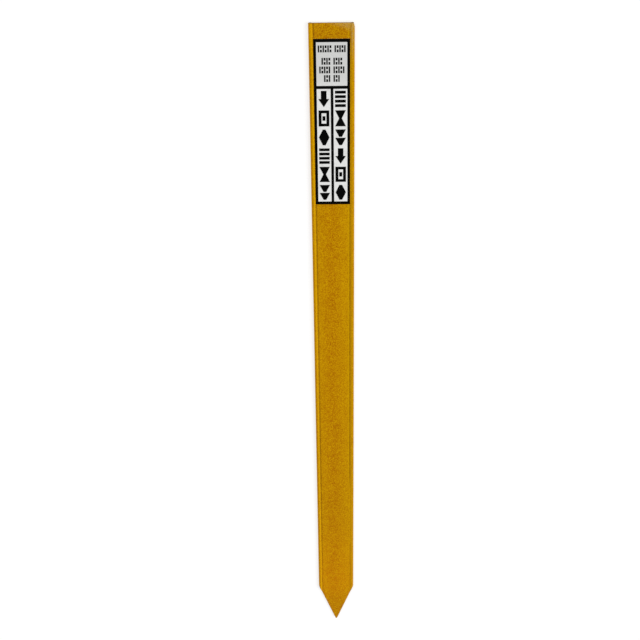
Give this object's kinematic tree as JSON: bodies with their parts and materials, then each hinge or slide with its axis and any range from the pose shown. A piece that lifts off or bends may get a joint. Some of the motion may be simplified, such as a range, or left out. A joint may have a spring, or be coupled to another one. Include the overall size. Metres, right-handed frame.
{
  "type": "utility marker post",
  "caption": "Flat glass-fibre marker post with beaded edges, a square top end, a pointed foot and a black and white decal in the recess of its face.",
  "frame": {"origin": "under the middle of the post as it lies on its back, at the height of the back beads", "axes": "+Z out of the face with the decal, +Y along the post to the square top end, +X to the reader's right"},
  "size_m": [0.0952, 1.6764, 0.0076],
  "materials": {
    "fibreglass": "satin, mottled ochre glass fibre and resin",
    "film": "satin white film",
    "ink": "satin black print"
  },
  "bodies": {
    "root": {"post": "fibreglass", "decal_film": "film", "decal_print": "ink"}
  },
  "joints": []
}
